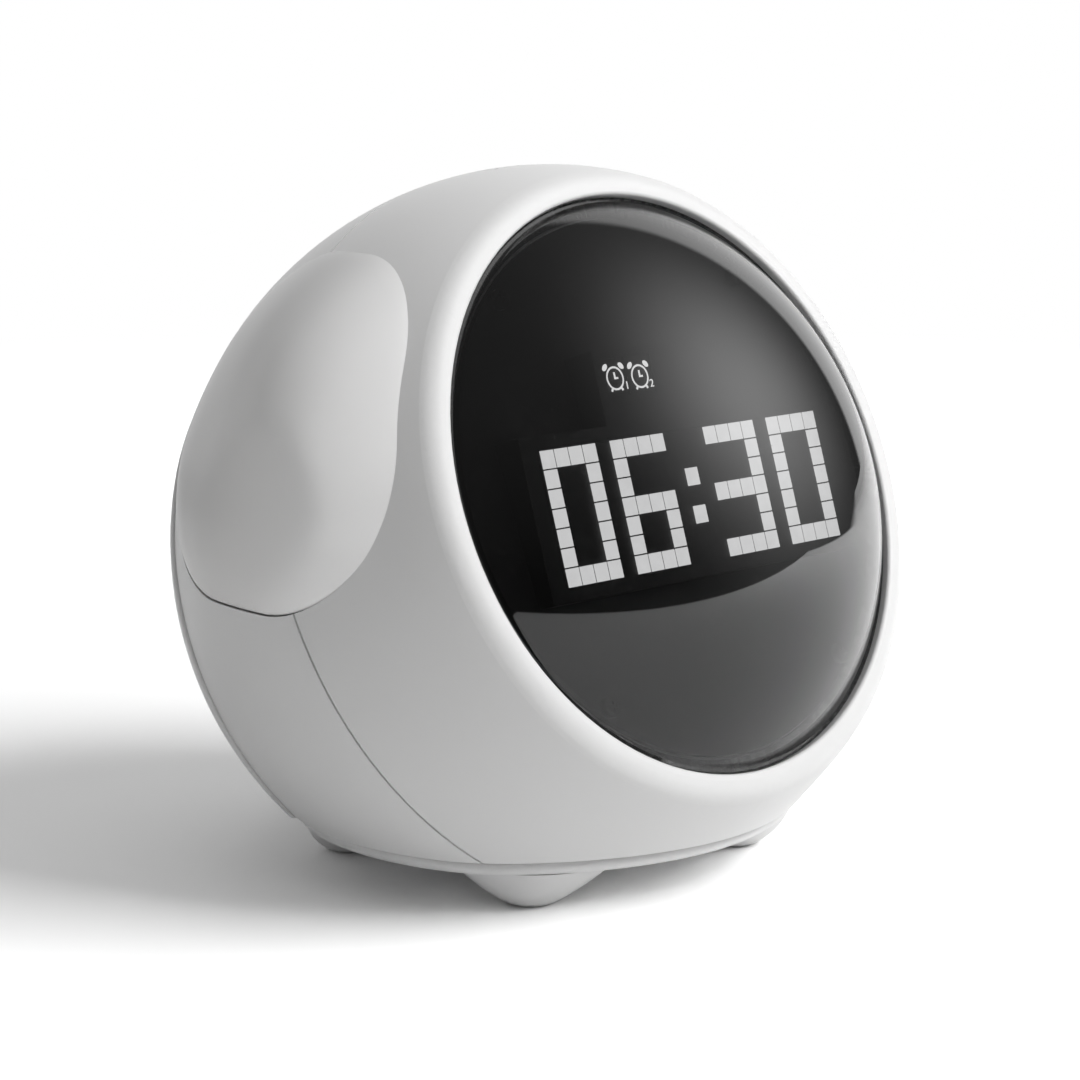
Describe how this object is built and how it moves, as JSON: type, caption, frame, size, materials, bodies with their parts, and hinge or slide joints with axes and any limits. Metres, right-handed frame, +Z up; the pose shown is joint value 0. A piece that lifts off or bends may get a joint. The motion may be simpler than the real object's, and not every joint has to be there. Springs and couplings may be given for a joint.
{
  "type": "alarm clock",
  "caption": "Ball-shaped bedside alarm clock on small feet, with a leaning domed display, a night light on each side, rear keys and a charging socket.",
  "frame": {"origin": "middle of the bounding box on the table plane, under the rubber pads", "axes": "+Z up, the display looks along -Y and leans back, +X to the right seen from the front"},
  "size_m": [0.0998, 0.0884, 0.0879],
  "materials": {
    "white_shell": "satin moulded white ABS",
    "rubber_pad": "grey silicone rubber",
    "smoked_lens": "polished smoked acrylic, nearly black",
    "foam": "black adhesive foam",
    "black_plastic": "matt black moulded plastic",
    "white_grid": "white baffle plastic",
    "diffuser": "translucent white sheet",
    "film": "black printed film",
    "circuit_board": "green solder mask on fibreglass",
    "lamp": "surface mounted lamps",
    "milky_cover": "milky translucent plastic",
    "speaker_paper": "pressed paper",
    "battery_wrap": "foil pouch",
    "components": "black electronic parts",
    "grey_key": "satin moulded keys",
    "socket_steel": "plated steel socket",
    "screw_steel": "zinc plated steel"
  },
  "bodies": {
    "housing": {"base_plate": "white_shell", "base_screws": "screw_steel", "battery_cell": "battery_wrap", "battery_tape": "foam", "charging_socket": "socket_steel", "diffuser_sheet": "diffuser", "display_board": "circuit_board", "display_board_screws": "screw_steel", "display_film": "film", "display_frame": "black_plastic", "display_frame_screws": "screw_steel", "display_lamps": "lamp", "foot_pad_1": "rubber_pad", "foot_pad_2": "rubber_pad", "foot_pad_3": "rubber_pad", "foot_pad_4": "rubber_pad", "front_shell": "white_shell", "key_board": "circuit_board", "key_board_screws": "screw_steel", "key_switches": "black_plastic", "lens_dome": "smoked_lens", "lens_gasket": "foam", "light_grid": "white_grid", "main_board": "circuit_board", "main_board_parts": "components", "main_board_screws": "screw_steel", "night_light_board_left": "circuit_board", "night_light_board_right": "circuit_board", "night_light_cover_left": "milky_cover", "night_light_cover_right": "milky_cover", "night_light_lamps_left": "lamp", "night_light_lamps_right": "lamp", "night_light_screws_left": "screw_steel", "night_light_screws_right": "screw_steel", "rear_cover": "white_shell", "rear_cover_screws": "screw_steel", "rear_shell": "white_shell", "shell_screws": "screw_steel", "speaker_body": "black_plastic", "speaker_cone": "speaker_paper", "speaker_gasket": "foam"},
    "key_1": {"key_1": "grey_key"},
    "key_2": {"key_2": "grey_key"},
    "key_3": {"key_3": "grey_key"},
    "key_4": {"key_4": "grey_key"}
  },
  "joints": [
    {"name": "key_1_press", "type": "slide", "parent": "housing", "child": "key_1", "axis": [0, -1, 0], "range_m": [0, 0.0005], "stiffness_N_per_m": 1500},
    {"name": "key_2_press", "type": "slide", "parent": "housing", "child": "key_2", "axis": [0, -1, 0], "range_m": [0, 0.0005], "stiffness_N_per_m": 1500},
    {"name": "key_3_press", "type": "slide", "parent": "housing", "child": "key_3", "axis": [0, -1, 0], "range_m": [0, 0.0005], "stiffness_N_per_m": 1500},
    {"name": "key_4_press", "type": "slide", "parent": "housing", "child": "key_4", "axis": [0, -1, 0], "range_m": [0, 0.0005], "stiffness_N_per_m": 1500}
  ]
}
